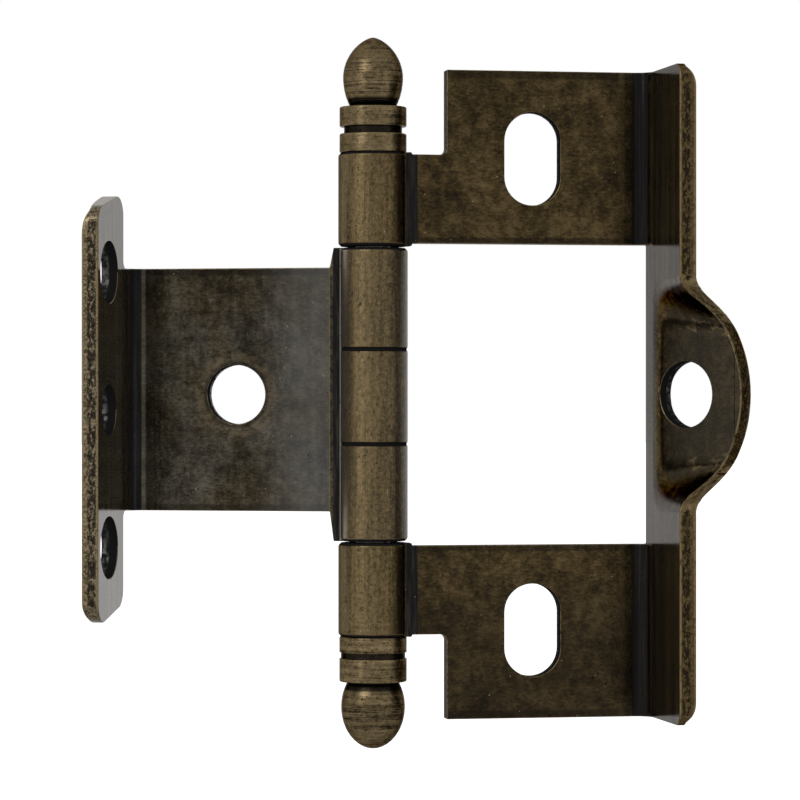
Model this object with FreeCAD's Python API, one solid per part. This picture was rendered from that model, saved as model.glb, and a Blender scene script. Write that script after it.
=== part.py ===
"""Full inset cabinet hinge with wrap-around leaves and minaret tips, in millimetres.

The pin stands on the Z axis with its middle at the origin. The frame leaf reaches along +X and its flange
points along -Y. The door leaf is built the same way round, mirrored to -X and swung about the pin.
"""
import FreeCAD, Part
import math
import os

# Barrel and pin
barrel_diameter = 6.35
pin_running_clearance = 0.055
door_knuckle_length = 26.7
frame_knuckle_length = 8.55
knuckle_gap = 0.15
knuckle_rim_chamfer = 0.25
groove_height = 4.31
groove_drop = 0.2
groove_width = 0.32
groove_depth = 0.1
groove_start_angle = 5.0
groove_overrun_angle = 1.0

# Sheet common to both leaves
sheet = 1.55
plate_setback = 0.5
joggle_radius = 0.5
bend_radius = 1.4
seam_angle = 37.0
flange_depth = 12.7
knuckle_neck_clearance = 0.08

# Door leaf
door_thickness = 19.05
door_swing = -22.0
door_plate_top_step = 1.8
door_plate_bottom_step = 2.7
door_plate_flare = 0.35
door_plate_hole_diameter = 5.4
door_plate_hole_reach = 12.35
door_flange_height = 37.5
door_flange_drop = 1.23
door_flange_end_slope = 12.0
door_flange_relief = 2.8
door_flange_corner = 1.8
door_flange_inner_corner = 0.7
door_flange_hole_diameter = 5.6
door_flange_pilot_diameter = 4.6
door_flange_hole_end = 6.35
door_flange_hole_drop = 1.4
door_flange_hole_edge = 3.6

# Frame leaf
frame_thickness = 22.225
frame_arm_height = 15.85
frame_window_margin = 0.4
frame_shoulder_reach = 6.47
frame_neck_height = 8.1
frame_neck_corner = 0.6
frame_flange_corner = 1.3
slot_width = 5.2
slot_length = 8.5
slot_rise = 7.8
slot_reach = 14.45

# Ear formed out of the frame flange
ear_angle = 36.5
ear_root_height = 21.6
ear_full_height = 10.4
ear_bend_length = 1.5
ear_length = 10.3
ear_outline_radius = 11.14
ear_hole_diameter = 6.0
ear_hole_reach = 4.0
ear_stations = 9

# Tips, each turned as two collars, the groove between them, a neck and a ball
tip_bore_depth = 4.0
tip_edge_chamfer = 0.2
pin_end_chamfer = 0.3
top_collar_radius = 3.06
top_low_collar_height = 1.74
top_groove_radius = 2.65
top_groove_height = 0.62
top_high_collar_height = 1.83
top_neck_radius = 2.15
top_neck_height = 0.12
top_ball_radius = 2.74
top_ball_low_height = 2.54
top_ball_high_height = 3.7
top_ball_crown_radius = 2.38
bottom_collar_radius = 3.08
bottom_low_collar_height = 1.46
bottom_groove_radius = 2.94
bottom_groove_height = 0.55
bottom_high_collar_height = 2.13
bottom_neck_radius = 2.4
bottom_neck_height = 0.12
bottom_ball_radius = 2.92
bottom_ball_low_height = 2.2
bottom_ball_high_height = 3.8
bottom_ball_crown_radius = 2.58

# Worked out from the sizes above
barrel_radius = barrel_diameter / 2
knuckle_bore_radius = barrel_radius - sheet
pin_radius = knuckle_bore_radius - pin_running_clearance
door_knuckle_top = door_knuckle_length / 2
door_plate_top = door_knuckle_top - door_plate_top_step
door_plate_bottom = door_plate_bottom_step - door_knuckle_top
door_flange_hole_spacing = door_flange_height / 2 - door_flange_hole_end
frame_knuckle_low = door_knuckle_top + knuckle_gap
barrel_top = frame_knuckle_low + frame_knuckle_length
frame_window_top = door_knuckle_top + frame_window_margin
frame_leaf_top = frame_window_top + frame_arm_height
plate_front = -(plate_setback + sheet)
flange_root = plate_front - bend_radius
flange_free_edge = -(plate_setback + flange_depth)
far = 4 * (frame_leaf_top + frame_thickness)


def vec(x, y, z):
    """Short name for a FreeCAD vector."""
    return FreeCAD.Vector(x, y, z)


def polar(cx, cy, radius, degrees):
    """Point on a circle in the XY plane."""
    turn = math.radians(degrees)
    return vec(cx + radius * math.cos(turn), cy + radius * math.sin(turn), 0)


def arc(cx, cy, radius, start, end):
    """Arc edge in the XY plane from one angle to another, through the middle angle."""
    middle = (start + end) / 2
    points = [polar(cx, cy, radius, turn) for turn in (start, middle, end)]
    return Part.Arc(*points).toShape()


def line(start, end):
    """Straight edge."""
    return Part.LineSegment(start, end).toShape()


def block(x, y, z):
    """Box from three (low, high) pairs."""
    size = [high - low for low, high in (x, y, z)]
    return Part.makeBox(*size, vec(x[0], y[0], z[0]))


def prism(points, direction):
    """Straight-sided solid over a polygon."""
    return Part.Face(Part.makePolygon(points + points[:1])).extrude(direction)


def sheet_section(flange_face):
    """Section of a leaf: rolled knuckle, joggle, plate, corner bend and flange, in the XY plane.

    The roll starts beside the plate, passes behind the pin, comes round its front and ends in a seam.
    """
    joggle_y = joggle_radius - plate_setback
    joggle_x = math.sqrt((barrel_radius + joggle_radius) ** 2 - joggle_y ** 2)
    roll_start = math.degrees(math.atan2(joggle_y, joggle_x))
    roll_end = 360 - seam_angle
    bend_x = flange_face - bend_radius
    outer = flange_face + sheet
    edges = [
        line(vec(bend_x, -plate_setback, 0), vec(joggle_x, -plate_setback, 0)),
        arc(joggle_x, joggle_y, joggle_radius, -90, roll_start - 180),
        arc(0, 0, barrel_radius, roll_start, roll_end),
        line(polar(0, 0, barrel_radius, roll_end), polar(0, 0, knuckle_bore_radius, roll_end)),
        arc(0, 0, knuckle_bore_radius, roll_end, roll_start),
        arc(joggle_x, joggle_y, joggle_radius + sheet, roll_start - 180, -90),
        line(vec(joggle_x, plate_front, 0), vec(bend_x, plate_front, 0)),
        arc(bend_x, flange_root, bend_radius, 90, 0),
        line(vec(flange_face, flange_root, 0), vec(flange_face, flange_free_edge, 0)),
        line(vec(flange_face, flange_free_edge, 0), vec(outer, flange_free_edge, 0)),
        line(vec(outer, flange_free_edge, 0), vec(outer, flange_root, 0)),
        arc(bend_x, flange_root, bend_radius + sheet, 0, 90),
    ]
    return Part.Face(Part.Wire(edges))


def folded_sheet(flange_face, low, high):
    """The leaf's section drawn out between two heights."""
    section = sheet_section(flange_face)
    section.translate(vec(0, 0, low))
    return section.extrude(vec(0, 0, high - low))


def edges_at(shape, test):
    """Edges whose ends and middle all pass a test on their position."""
    found = []
    for edge in shape.Edges:
        middle = edge.valueAt((edge.FirstParameter + edge.LastParameter) / 2)
        places = [vertex.Point for vertex in edge.Vertexes] + [middle]
        if all(test(place) for place in places):
            found.append(edge)
    return found


def near(value, target):
    """Equal to within a modelling tolerance."""
    return abs(value - target) < 1e-4


def chamfer_knuckle_rims(leaf, heights):
    """Breaks the outer rim of the roll at each end of a knuckle."""
    rims = edges_at(leaf, lambda p: near(math.hypot(p.x, p.y), barrel_radius)
                    and any(near(p.z, height) for height in heights))
    return leaf.makeChamfer(knuckle_rim_chamfer, rims)


def turned_groove(height):
    """Narrow groove cut into the outside of the roll, from behind the joggle round to the seam."""
    low = vec(0, 0, height - groove_width / 2)
    up = vec(0, 0, 1)
    turn = 360 - seam_angle + groove_overrun_angle - groove_start_angle
    ring = Part.makeCylinder(barrel_radius + knuckle_neck_clearance, groove_width, low, up, turn)
    ring.rotate(low, up, groove_start_angle)
    return ring.cut(Part.makeCylinder(barrel_radius - groove_depth, groove_width, low))


def round_hole(centre, direction, diameter):
    """Cutter for a hole through one thickness of sheet, centred in the sheet."""
    unit = vec(*direction).normalize()
    depth = 2 * sheet
    return Part.makeCylinder(diameter / 2, depth, centre - unit * (depth / 2), unit)


def door_plan():
    """Keeps the knuckle, the flare beside it and the plate, seen from the front."""
    knuckle = barrel_radius + knuckle_neck_clearance
    flare = knuckle + door_plate_flare
    outline = [
        (-far, -door_knuckle_top), (knuckle, -door_knuckle_top), (flare, door_plate_bottom),
        (far, door_plate_bottom), (far, door_plate_top), (flare, door_plate_top),
        (knuckle, door_knuckle_top), (-far, door_knuckle_top),
    ]
    rear = plate_front - door_flange_relief
    return prism([vec(x, rear, z) for x, z in outline], vec(0, far, 0))


def door_flange_outline(flange_face):
    """Keeps the flange inside its slanted outline with four round corners, seen from the side."""
    rear = plate_front - door_flange_relief
    slope = math.tan(math.radians(door_flange_end_slope))
    middle = (rear + flange_free_edge) / 2
    half = door_flange_height / 2
    corners = [
        vec(flange_face, y, side * half - door_flange_drop + (y - middle) * slope)
        for y, side in ((rear, 1), (flange_free_edge, 1), (flange_free_edge, -1), (rear, -1))
    ]
    blank = prism(corners, vec(sheet, 0, 0))
    across = edges_at(blank, lambda p: any(near(p.y, c.y) and near(p.z, c.z) for c in corners))
    return blank.makeFillet(door_flange_corner, across)


def door_leaf():
    """Door leaf, lying along +X before it is mirrored and swung."""
    flange_face = barrel_radius + door_thickness
    reach = door_flange_height
    rear = plate_front - door_flange_relief
    full = folded_sheet(flange_face, -reach, reach)
    flange_zone = block((flange_face, far), (-far, rear), (-far, far))
    leaf = full.common(door_plan()).fuse(full.common(flange_zone).common(door_flange_outline(flange_face)))
    leaf = leaf.removeSplitter()
    notches = edges_at(leaf, lambda p: near(p.y, rear) and p.x > flange_face - bend_radius
                       and (near(p.z, door_plate_bottom) or near(p.z, door_plate_top)))
    leaf = leaf.makeFillet(door_flange_inner_corner, notches)
    leaf = chamfer_knuckle_rims(leaf, (-door_knuckle_top, door_knuckle_top))
    for side in (-1, 1):
        leaf = leaf.cut(turned_groove(side * groove_height - groove_drop))
    leaf = leaf.cut(round_hole(vec(door_plate_hole_reach, plate_front + sheet / 2, 0), (0, 1, 0),
                               door_plate_hole_diameter))
    for step in (-1, 0, 1):
        place = vec(flange_face + sheet / 2, flange_free_edge + door_flange_hole_edge,
                    step * door_flange_hole_spacing - door_flange_hole_drop)
        diameter = door_flange_hole_diameter if step else door_flange_pilot_diameter
        leaf = leaf.cut(round_hole(place, (1, 0, 0), diameter))
    leaf = leaf.mirror(vec(0, 0, 0), vec(1, 0, 0))
    leaf.rotate(vec(0, 0, 0), vec(0, 0, 1), door_swing)
    return leaf


def frame_plan():
    """Keeps the two knuckles, their necks, the arms and the strip that joins the arms."""
    flange_face = barrel_radius + frame_thickness
    knuckle = barrel_radius + knuckle_neck_clearance
    neck_top = frame_window_top + frame_neck_height
    keep = block((flange_face, far), (-far, far), (-far, far))
    for side in (-1, 1):
        outline = [
            (-far, frame_knuckle_low), (knuckle, frame_knuckle_low), (knuckle, frame_window_top),
            (far, frame_window_top), (far, far), (frame_shoulder_reach, far),
            (frame_shoulder_reach, neck_top), (knuckle, neck_top), (knuckle, barrel_top),
            (-far, barrel_top),
        ]
        keep = keep.fuse(prism([vec(x, -far, side * z) for x, z in outline], vec(0, 2 * far, 0)))
    return keep


def slot(height):
    """Cutter for one vertical slot in an arm."""
    radius = slot_width / 2
    straight = slot_length - slot_width
    rear = plate_front - sheet
    depth = 3 * sheet
    body = block((slot_reach - radius, slot_reach + radius), (rear, rear + depth),
                 (height - straight / 2, height + straight / 2))
    for end in (-straight / 2, straight / 2):
        centre = vec(slot_reach, rear, height + end)
        body = body.fuse(Part.makeCylinder(radius, depth, centre, vec(0, 1, 0)))
    return body


def ear_blend(height):
    """How far the ear is formed at a height: 0 at its root, 1 over its full part, level at both ends."""
    root = ear_root_height / 2
    full = ear_full_height / 2
    part = min(1, max(0, (root - abs(height)) / (root - full)))
    return part ** 3 * (6 * part ** 2 - 15 * part + 10)


def ear_reach(height):
    """How far the full ear reaches at a height: a round crown, then straight past its flat part."""
    round_part = min(abs(height), ear_full_height / 2)
    drop = math.sqrt(ear_outline_radius ** 2 - round_part ** 2)
    slope = round_part / drop
    return ear_length - ear_outline_radius + drop - slope * (abs(height) - round_part)


def ear_middle_line(angle, length):
    """Point and turn of the flange's middle line below its root, where it bends by an angle in all."""
    x = barrel_radius + frame_thickness + sheet / 2
    if angle == 0:
        return vec(x, flange_root - length, 0), 0
    bent = min(length, ear_bend_length)
    turn = angle * bent / ear_bend_length
    radius = ear_bend_length / angle
    past = length - bent
    return vec(x + radius * (1 - math.cos(turn)) + past * math.sin(turn),
               flange_root - radius * math.sin(turn) - past * math.cos(turn), 0), turn


def ear_section(height, reach, angle):
    """Section of the flange below its root, bent by an angle and ended at a reach along the sheet."""

    def face_point(length, side):
        """Point on the inner (-1) or outer (+1) face of the sheet."""
        place, turn = ear_middle_line(angle, length)
        across = vec(math.cos(turn), math.sin(turn), 0)
        return place + across * (side * sheet / 2) + vec(0, 0, height)

    faces = []
    for side in (-1, 1):
        bend = Part.BSplineCurve()
        bend.interpolate([face_point(ear_bend_length * step / 4, side) for step in range(5)])
        faces.append(bend.toShape())
    inner, outer = faces
    return Part.Wire([
        inner,
        line(face_point(ear_bend_length, -1), face_point(reach, -1)),
        line(face_point(reach, -1), face_point(reach, 1)),
        line(face_point(reach, 1), face_point(ear_bend_length, 1)),
        outer,
        line(face_point(0, 1), face_point(0, -1)),
    ])


def ear_shoulder(side):
    """Lofted stretch of the ear between its flat part and its root, above (1) or below (-1)."""
    root = ear_root_height / 2
    full = ear_full_height / 2
    sections = []
    for step in range(ear_stations):
        height = full + (root - full) * step / (ear_stations - 1)
        blend = ear_blend(height)
        reach = (1 - blend) * (flange_root - flange_free_edge) + blend * ear_reach(height)
        sections.append(ear_section(side * height, reach, math.radians(ear_angle) * blend))
    return Part.makeLoft(sections, True, False)


def ear():
    """The middle of the frame flange, bent outwards and blended into the flat strip above and below."""
    turn = math.radians(ear_angle)
    full = ear_full_height / 2
    tab = Part.Face(ear_section(-full, ear_length, turn)).extrude(vec(0, 0, ear_full_height))
    normal = vec(math.cos(turn), math.sin(turn), 0)
    outward = vec(math.sin(turn), -math.cos(turn), 0)
    crown_centre = ear_middle_line(turn, ear_length)[0] - outward * ear_outline_radius
    crown = Part.makeCylinder(ear_outline_radius, far, crown_centre - normal * (far / 2), normal)
    body = tab.common(crown).fuse([ear_shoulder(-1), ear_shoulder(1)])
    return body.cut(round_hole(ear_middle_line(turn, ear_hole_reach)[0], normal, ear_hole_diameter))


def frame_leaf():
    """Frame leaf with its window, slots, flange and ear."""
    flange_face = barrel_radius + frame_thickness
    leaf = folded_sheet(flange_face, -frame_leaf_top, frame_leaf_top).common(frame_plan())
    neck_top = frame_window_top + frame_neck_height
    notches = edges_at(leaf, lambda p: near(p.x, frame_shoulder_reach) and near(abs(p.z), neck_top))
    leaf = leaf.makeFillet(frame_neck_corner, notches)
    corners = edges_at(leaf, lambda p: near(p.y, flange_free_edge) and near(abs(p.z), frame_leaf_top))
    leaf = leaf.makeFillet(frame_flange_corner, corners)
    ends = (frame_knuckle_low, barrel_top)
    leaf = chamfer_knuckle_rims(leaf, [side * z for side in (-1, 1) for z in ends])
    for side in (-1, 1):
        leaf = leaf.cut(slot(side * (frame_window_top + slot_rise)))
    root = ear_root_height / 2
    leaf = leaf.cut(block((flange_face - sheet, far), (-far, flange_root), (-root, root)))
    return leaf.fuse(ear()).removeSplitter()


def hinge_pin():
    """Round pin that ends inside both tips."""
    half = barrel_top + tip_bore_depth
    pin = Part.makeCylinder(pin_radius, 2 * half, vec(0, 0, -half))
    ends = edges_at(pin, lambda p: near(abs(p.z), half) and near(math.hypot(p.x, p.y), pin_radius))
    return pin.makeChamfer(pin_end_chamfer, ends)


def ball_profile(neck_radius, neck_z, ball_radius, low_height, high_height, crown_radius):
    """Profile of a turned ball beside the Z axis, from its neck up to its top, as three tangent arcs.

    The lowest arc leaves the neck and stands upright at the widest point. The next goes on from there and
    meets the crown, whose centre is on the axis.
    """

    def place(radius, z):
        """Point beside the axis."""
        return vec(radius, 0, z)

    overhang = ball_radius - neck_radius
    wide_z = neck_z + low_height
    low_radius = (overhang ** 2 + low_height ** 2) / (2 * overhang)
    low_turn = math.asin(low_height / low_radius) / 2
    low_middle = place(ball_radius - low_radius * (1 - math.cos(low_turn)),
                       wide_z - low_radius * math.sin(low_turn))
    crown_z = wide_z + high_height - crown_radius
    rise = crown_z - wide_z
    side_radius = (ball_radius ** 2 + rise ** 2 - crown_radius ** 2) / (2 * (ball_radius - crown_radius))
    side_turn = math.asin(rise / (side_radius - crown_radius))
    side_centre = ball_radius - side_radius
    side_middle = place(side_centre + side_radius * math.cos(side_turn / 2),
                        wide_z + side_radius * math.sin(side_turn / 2))
    meeting = place(crown_radius * math.cos(side_turn), crown_z + crown_radius * math.sin(side_turn))
    crown_turn = (side_turn + math.pi / 2) / 2
    crown_middle = place(crown_radius * math.cos(crown_turn), crown_z + crown_radius * math.sin(crown_turn))
    wide = place(ball_radius, wide_z)
    return [
        Part.Arc(place(neck_radius, neck_z), low_middle, wide).toShape(),
        Part.Arc(wide, side_middle, meeting).toShape(),
        Part.Arc(meeting, crown_middle, place(0, crown_z + crown_radius)).toShape(),
    ]


def turned_tip(steps, ball_radius, low_height, high_height, crown_radius):
    """Turned tip standing on z = 0: round steps, each a (radius, height) pair, and a ball on the last."""
    profile = []
    radius = 0
    height = 0
    for step_radius, step_height in steps:
        profile.append(line(vec(radius, 0, height), vec(step_radius, 0, height)))
        profile.append(line(vec(step_radius, 0, height), vec(step_radius, 0, height + step_height)))
        radius = step_radius
        height += step_height
    profile += ball_profile(radius, height, ball_radius, low_height, high_height, crown_radius)
    profile.append(line(vec(0, 0, height + low_height + high_height), vec(0, 0, 0)))
    body = Part.Face(Part.Wire(profile)).revolve(vec(0, 0, 0), vec(0, 0, 1), 360)
    body = chamfer_collars(body, steps)
    return body.cut(Part.makeCylinder(pin_radius, tip_bore_depth))


def chamfer_collars(body, steps):
    """Breaks each collar's rim where it stands out from the step beside it."""
    height = 0
    for (radius, rise), (next_radius, _) in zip(steps, steps[1:]):
        height += rise
        proud = max(radius, next_radius)
        chamfer = min(tip_edge_chamfer, 0.8 * abs(radius - next_radius))
        rims = edges_at(body, lambda p: near(math.hypot(p.x, p.y), proud) and near(p.z, height))
        body = body.makeChamfer(chamfer, rims)
    return body


def top_finial():
    """Upper tip, with the deeper groove and the slimmer, pointed acorn."""
    steps = [
        (top_collar_radius, top_low_collar_height), (top_groove_radius, top_groove_height),
        (top_collar_radius, top_high_collar_height), (top_neck_radius, top_neck_height),
    ]
    tip = turned_tip(steps, top_ball_radius, top_ball_low_height, top_ball_high_height,
                     top_ball_crown_radius)
    tip.translate(vec(0, 0, barrel_top))
    return tip


def bottom_finial():
    """Lower tip, with the shallow groove and the rounder ball."""
    steps = [
        (bottom_collar_radius, bottom_low_collar_height), (bottom_groove_radius, bottom_groove_height),
        (bottom_collar_radius, bottom_high_collar_height), (bottom_neck_radius, bottom_neck_height),
    ]
    tip = turned_tip(steps, bottom_ball_radius, bottom_ball_low_height, bottom_ball_high_height,
                     bottom_ball_crown_radius)
    tip.rotate(vec(0, 0, 0), vec(1, 0, 0), 180)
    tip.translate(vec(0, 0, -barrel_top))
    return tip


def main():
    """Builds every piece and writes one file for each."""
    os.makedirs("parts", exist_ok=True)
    for build in (door_leaf, frame_leaf, hinge_pin, top_finial, bottom_finial):
        solid, = build().Solids
        solid.exportStep(os.path.join("parts", build.__name__ + ".step"))
        print(build.__name__, solid.isValid(), round(solid.Volume, 2))


main()
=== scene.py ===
"""Looks of a cabinet hinge in aged brass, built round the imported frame.

The leaves are the CAD leaves' own skins, welded, with their sharp edges rounded and the free corners of
their flanges rolled. The turned tips are surfaces of revolution. Sizes are in millimetres and become metres
where a mesh is made.
"""
import logging
import math
from collections.abc import Iterator
from contextlib import contextmanager
from dataclasses import dataclass
from enum import Enum
from functools import cached_property
from typing import TypeAlias

import bmesh
import bpy
import numpy as np
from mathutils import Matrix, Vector


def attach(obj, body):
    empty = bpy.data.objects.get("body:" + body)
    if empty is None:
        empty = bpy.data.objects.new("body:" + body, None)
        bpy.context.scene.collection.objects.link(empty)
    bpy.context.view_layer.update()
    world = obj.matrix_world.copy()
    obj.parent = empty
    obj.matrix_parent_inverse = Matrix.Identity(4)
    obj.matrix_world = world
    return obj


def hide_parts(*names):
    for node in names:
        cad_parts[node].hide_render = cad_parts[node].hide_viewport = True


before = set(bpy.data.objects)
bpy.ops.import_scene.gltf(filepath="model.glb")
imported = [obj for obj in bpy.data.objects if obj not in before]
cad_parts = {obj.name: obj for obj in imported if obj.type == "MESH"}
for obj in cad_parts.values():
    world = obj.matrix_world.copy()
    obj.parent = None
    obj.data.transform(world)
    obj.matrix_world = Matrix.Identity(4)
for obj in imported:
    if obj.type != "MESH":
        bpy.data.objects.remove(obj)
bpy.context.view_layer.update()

log = logging.getLogger("hinge")
MM = 0.001
BARREL_RADIUS = 3.175
PIN_RADIUS = 1.57
# dull black, for oxidised metal and for painted shade
OXIDE_AND_SHADE_BLACK = (0.012, 0.0115, 0.0115)

Colour: TypeAlias = tuple[float, float, float]
Place: TypeAlias = tuple[float, float, float]
Span: TypeAlias = tuple[float, float]
Value: TypeAlias = "Signal | float | tuple"
Layer: TypeAlias = "tuple[Value, Signal | Colour]"


class Domain(Enum):
    """What a mark is stored on."""

    POINT = "POINT"
    FACE = "FACE"


def opaque(colour: Colour) -> tuple[float, float, float, float]:
    """The colour with full alpha."""
    return (*colour, 1.0)


def read_numbers(items: bpy.types.bpy_prop_collection, name: str, width: int = 1,
                 kind: type = np.float32) -> np.ndarray:
    """Reads one property of every item of a mesh.

    Args:
        items: Points, edges, corners or faces.
        name: Property to read.
        width: How many numbers each item has.
        kind: Type of the numbers.

    Returns:
        A row for each item, or a single number where the width is 1.
    """
    numbers = np.empty(len(items) * width, kind)
    items.foreach_get(name, numbers)
    return numbers.reshape(-1, width) if width > 1 else numbers


def corners_of(mesh: bpy.types.Mesh) -> tuple[np.ndarray, np.ndarray, np.ndarray]:
    """The edge, the point and the face of each corner of a mesh."""
    edge, point = (read_numbers(mesh.loops, name, kind=np.int32) for name in ("edge_index", "vertex_index"))
    sides = read_numbers(mesh.polygons, "loop_total", kind=np.int32)
    return edge, point, np.repeat(np.arange(len(sides)), sides)


@contextmanager
def edited(mesh: bpy.types.Mesh) -> Iterator[bmesh.types.BMesh]:
    """Opens a mesh for welding, cutting and rounding, and writes it back at the end."""
    shell = bmesh.new()
    shell.from_mesh(mesh)
    yield shell
    shell.to_mesh(mesh)
    shell.free()


def store_mark(mesh: bpy.types.Mesh, name: str, domain: Domain, values: np.ndarray) -> None:
    """Stores one number on each point or face, for the finish to read."""
    mesh.attributes.new(name, "FLOAT", domain.value).data.foreach_set("value", values.astype(np.float32))


class Signal:
    """An output socket of a shader tree that can be used in sums."""

    def __init__(self, shader: "Shader", socket: bpy.types.NodeSocket) -> None:
        """Keeps the socket with the shader that it belongs to."""
        self.shader = shader
        self.socket = socket

    def _math(self, operation: str, *values: Value) -> "Signal":
        """Adds one Math node."""
        return self.shader.node("Math", {"operation": operation}, dict(enumerate(values)))

    def __add__(self, other: Value) -> "Signal":
        """Sum."""
        return self._math("ADD", self, other)

    __radd__ = __add__

    def __sub__(self, other: Value) -> "Signal":
        """Difference."""
        return self._math("SUBTRACT", self, other)

    def __rsub__(self, other: Value) -> "Signal":
        """Difference, reflected."""
        return self._math("SUBTRACT", other, self)

    def __mul__(self, other: Value) -> "Signal":
        """Product."""
        return self._math("MULTIPLY", self, other)

    def __abs__(self) -> "Signal":
        """Size without sign."""
        return self._math("ABSOLUTE", self)

    def ramp(self, low: float, high: float) -> "Signal":
        """Smooth step from 0 at low to 1 at high. It falls where low is the larger.

        Args:
            low: Value that gives 0.
            high: Value that gives 1.

        Returns:
            The stepped signal, between 0 and 1.
        """
        return self.shader.node("MapRange", {"interpolation_type": "SMOOTHSTEP"},
                                {0: self, 1: low, 2: high, 3: 0.0, 4: 1.0})

    def between(self, low: float, high: float, blur: float) -> "Signal":
        """1 between two values, and 0 outside them.

        Args:
            low: Lower end.
            high: Upper end.
            blur: How far outside each end it takes to reach 0.

        Returns:
            The banded signal.
        """
        return self.ramp(low - blur, low) * self.ramp(high + blur, high)

    def larger(self, other: Value) -> "Signal":
        """The larger of two signals."""
        return self._math("MAXIMUM", self, other)


class Shader:
    """The node tree of one material or world, with the few calls that its finishes need."""

    def __init__(self, owner: bpy.types.Material | bpy.types.World, offset: float = 0.0) -> None:
        """Starts with an empty tree.

        Args:
            owner: Material or world that the tree belongs to.
            offset: How far every pattern is moved along each axis, in millimetres.
        """
        owner.use_nodes = True
        self.owner = owner
        self.offset = offset
        self.tree = owner.node_tree
        self.tree.nodes.clear()

    def node(self, kind: str, settings: dict | None = None, inputs: dict | None = None,
             output: int | str = 0) -> Signal:
        """Makes any node, sets it up and wires it.

        Args:
            kind: Type of the node, without the "ShaderNode" in front.
            settings: Properties of the node, which are set first.
            inputs: Values or signals by socket.
            output: Socket that is returned.

        Returns:
            The chosen output.
        """
        made = self.tree.nodes.new("ShaderNode" + kind)
        for key, value in (settings or {}).items():
            setattr(made, key, value)
        for key, value in (inputs or {}).items():
            if isinstance(value, Signal):
                self.tree.links.new(value.socket, made.inputs[key])
            else:
                made.inputs[key].default_value = value
        return Signal(self, made.outputs[output] if made.outputs else None)

    def _vector(self, operation: str, first: Signal, second: Place, output: int | str = 0) -> Signal:
        """Adds one Vector Math node."""
        return self.node("VectorMath", {"operation": operation}, {0: first, 1: second}, output)

    @cached_property
    def place(self) -> Signal:
        """Object coordinates in millimetres."""
        return self._vector("MULTIPLY", self.node("TexCoord", output="Object"), (1 / MM,) * 3)

    @cached_property
    def spot(self) -> Signal:
        """Where patterns are read: the place, moved by the offset."""
        return self._vector("ADD", self.place, (self.offset,) * 3)

    def along(self, direction: Place) -> Signal:
        """How far the place lies along a direction."""
        return self._vector("DOT_PRODUCT", self.place, direction, "Value")

    def away(self, point: Place) -> Signal:
        """Distance from a point."""
        return self._vector("DISTANCE", self.place, point, "Value")

    def from_pin(self) -> Signal:
        """Distance from the pin's axis."""
        level = self._vector("MULTIPLY", self.place, (1, 1, 0))
        return self._vector("DISTANCE", level, (0, 0, 0), "Value")

    def hairs(self, scale: float, width: float, stretch: Place) -> Signal:
        """Fine scratches: the contour lines of a stretched noise.

        Args:
            scale: Cells per millimetre.
            width: Half width of a line, as a share of the noise's range.
            stretch: Smaller along an axis makes the hairs longer along it.

        Returns:
            1 on a hair and 0 off it.
        """
        return abs(self.noise(scale, 1, 0.5, stretch) - 0.5).ramp(width, 0)

    def noise(self, scale: float, detail: float = 2.0, roughness: float = 0.5,
              stretch: Place | None = None) -> Signal:
        """Cloudy noise about 0.5.

        Args:
            scale: Cells per millimetre.
            detail: Number of finer layers.
            roughness: Share of the finer layers.
            stretch: Smaller along an axis makes the clouds longer along it.

        Returns:
            The noise value.
        """
        spot = self._vector("MULTIPLY", self.spot, stretch) if stretch else self.spot
        return self.node("TexNoise", None, {
            "Vector": spot, "Scale": scale, "Detail": detail, "Roughness": roughness})

    def cells(self, scale: float) -> Signal:
        """Distance to the nearest of a field of scattered points, in cells."""
        return self.node("TexVoronoi", None, {"Vector": self.spot, "Scale": scale})

    def attribute(self, name: str) -> Signal:
        """A number stored on the mesh."""
        return self.node("Attribute", {"attribute_name": name}, None, "Fac")

    def mix(self, factor: Value, first: Signal | Colour, second: Signal | Colour) -> Signal:
        """One colour over another.

        Args:
            factor: Share of the second colour.
            first: Colour below.
            second: Colour above.

        Returns:
            The mixed colour.
        """
        below, above = (colour if isinstance(colour, Signal) else opaque(colour)
                        for colour in (first, second))
        return self.node("Mix", {"data_type": "RGBA"}, {0: factor, 6: below, 7: above}, 2)

    def layered(self, ground: Signal, *layers: Layer) -> Signal:
        """Lays colours one over another.

        Args:
            ground: Lowest colour.
            layers: Share and colour of each layer above it, from below.

        Returns:
            The colour on top.
        """
        for share, colour in layers:
            ground = self.mix(share, ground, colour)
        return ground

    def crevice_shade(self, reach: float) -> Signal:
        """How shut in a point is: 0 in the open, near 1 in a corner or groove. It is used to paint shade into
        corners and grooves.

        Args:
            reach: How far a neighbouring face counts, in millimetres.

        Returns:
            The share of the sky that is covered.
        """
        open_sky = self.node("AmbientOcclusion", {"samples": 6}, {"Distance": reach * MM}, "AO")
        return 1 - open_sky

    def bump(self, height: Signal, depth: float) -> Signal:
        """Surface normal bent by a height.

        Args:
            height: Height between about 0 and 1.
            depth: Height of one unit, in millimetres.

        Returns:
            The bent normal.
        """
        return self.node("Bump", None, {"Height": height, "Distance": depth * MM, "Strength": 1.0})

    def metal(self, colour: Signal, roughness: Signal, normal: Signal,
              soot_and_shade: Value = 0.0, grazing: Colour = (1, 1, 1),
              metallic: Value = 1.0) -> bpy.types.Material:
        """Finishes the tree as a metal.

        Args:
            colour: Base colour.
            roughness: Roughness.
            normal: Bent normal.
            soot_and_shade: Share of dull black that takes the shine off, as oxidised metal and as painted
                shade.
            grazing: Tint of the shine at a grazing angle.
            metallic: Share of bare metal.

        Returns:
            The finished material.
        """
        surface = self.node("BsdfPrincipled", None, {
            "Base Color": colour, "Roughness": roughness, "Normal": normal, "Metallic": metallic,
            "Specular Tint": opaque(grazing)})
        oxide_and_shade = self.node("BsdfDiffuse", None, {"Color": opaque(OXIDE_AND_SHADE_BLACK)})
        both = self.node("MixShader", None, {0: soot_and_shade, 1: surface, 2: oxide_and_shade})
        self.node("OutputMaterial", None, {"Surface": both})
        return self.owner


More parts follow.
